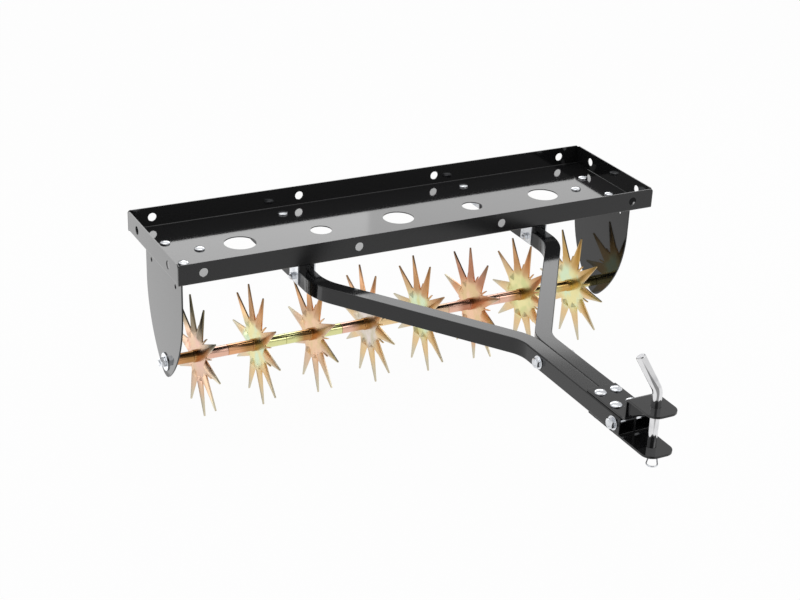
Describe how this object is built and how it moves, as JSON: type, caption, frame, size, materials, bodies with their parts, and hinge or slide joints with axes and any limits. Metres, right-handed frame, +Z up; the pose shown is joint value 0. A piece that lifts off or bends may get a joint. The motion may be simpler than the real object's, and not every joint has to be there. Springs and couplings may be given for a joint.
{
  "type": "tow behind aerator",
  "caption": "Tow behind spike aerator: a ballast tray on side plates over an axle of folded spike stars, with two bent square arms that meet in a pinned towing clevis.",
  "frame": {"origin": "centre of the machine's outline on the ground plane, under the lowest spikes", "axes": "+X along the axle to the machine's left-to-right, -Y forward to the towing clevis, +Z up"},
  "size_m": [1.016, 1.0448, 0.445],
  "materials": {
    "black_powder_coat": "smooth glossy black powder coat on folded sheet and tube",
    "yellow_zinc": "yellow passivated zinc plating with a rainbow sheen",
    "bright_zinc": "bright zinc plating",
    "pin_chrome": "smooth bright plating on the pin"
  },
  "bodies": {
    "machine_frame": {"weight_tray": "black_powder_coat", "left_side_plate": "black_powder_coat", "right_side_plate": "black_powder_coat", "left_arm": "black_powder_coat", "right_arm": "black_powder_coat", "hitch_upper_plate": "black_powder_coat", "hitch_lower_plate": "black_powder_coat", "side_plate_bolts": "bright_zinc", "side_plate_nuts": "bright_zinc", "left_outer_bracket": "bright_zinc", "left_inner_bracket": "bright_zinc", "left_rear_bracket": "bright_zinc", "right_outer_bracket": "bright_zinc", "right_inner_bracket": "bright_zinc", "right_rear_bracket": "bright_zinc", "bracket_floor_bolts": "bright_zinc", "bracket_floor_nuts": "bright_zinc", "arm_root_bolts": "bright_zinc", "arm_root_nuts": "bright_zinc", "hitch_bolts": "bright_zinc", "hitch_nuts": "bright_zinc", "cross_bolts": "bright_zinc", "cross_washers": "bright_zinc", "cross_nuts": "bright_zinc", "axle_rod": "bright_zinc", "axle_washers": "bright_zinc", "axle_nuts": "bright_zinc"},
    "star_wheel_1": {"star_1": "yellow_zinc", "hub_tube_1": "yellow_zinc"},
    "star_wheel_2": {"star_2": "yellow_zinc", "hub_tube_2": "yellow_zinc"},
    "star_wheel_3": {"star_3": "yellow_zinc", "hub_tube_3": "yellow_zinc"},
    "star_wheel_4": {"star_4": "yellow_zinc", "hub_tube_4": "yellow_zinc"},
    "star_wheel_5": {"star_5": "yellow_zinc", "hub_tube_5": "yellow_zinc"},
    "star_wheel_6": {"star_6": "yellow_zinc", "hub_tube_6": "yellow_zinc"},
    "star_wheel_7": {"star_7": "yellow_zinc", "hub_tube_7": "yellow_zinc"},
    "star_wheel_8": {"star_8": "yellow_zinc", "hub_tube_8": "yellow_zinc"},
    "locking_pin": {"hitch_pin": "pin_chrome", "pin_clip": "bright_zinc"}
  },
  "joints": [
    {"name": "star_wheel_1_roll", "type": "hinge", "parent": "machine_frame", "child": "star_wheel_1", "pos_m": [0, 0.38242, 0.11818], "axis": [1, 0, 0], "continuous": true},
    {"name": "star_wheel_2_roll", "type": "hinge", "parent": "machine_frame", "child": "star_wheel_2", "pos_m": [0, 0.38242, 0.11818], "axis": [1, 0, 0], "continuous": true},
    {"name": "star_wheel_3_roll", "type": "hinge", "parent": "machine_frame", "child": "star_wheel_3", "pos_m": [0, 0.38242, 0.11818], "axis": [1, 0, 0], "continuous": true},
    {"name": "star_wheel_4_roll", "type": "hinge", "parent": "machine_frame", "child": "star_wheel_4", "pos_m": [0, 0.38242, 0.11818], "axis": [1, 0, 0], "continuous": true},
    {"name": "star_wheel_5_roll", "type": "hinge", "parent": "machine_frame", "child": "star_wheel_5", "pos_m": [0, 0.38242, 0.11818], "axis": [1, 0, 0], "continuous": true},
    {"name": "star_wheel_6_roll", "type": "hinge", "parent": "machine_frame", "child": "star_wheel_6", "pos_m": [0, 0.38242, 0.11818], "axis": [1, 0, 0], "continuous": true},
    {"name": "star_wheel_7_roll", "type": "hinge", "parent": "machine_frame", "child": "star_wheel_7", "pos_m": [0, 0.38242, 0.11818], "axis": [1, 0, 0], "continuous": true},
    {"name": "star_wheel_8_roll", "type": "hinge", "parent": "machine_frame", "child": "star_wheel_8", "pos_m": [0, 0.38242, 0.11818], "axis": [1, 0, 0], "continuous": true},
    {"name": "locking_pin_swivel", "type": "hinge", "parent": "machine_frame", "child": "locking_pin", "pos_m": [0, -0.48358, 0.3], "axis": [0, 0, 1], "continuous": true}
  ]
}
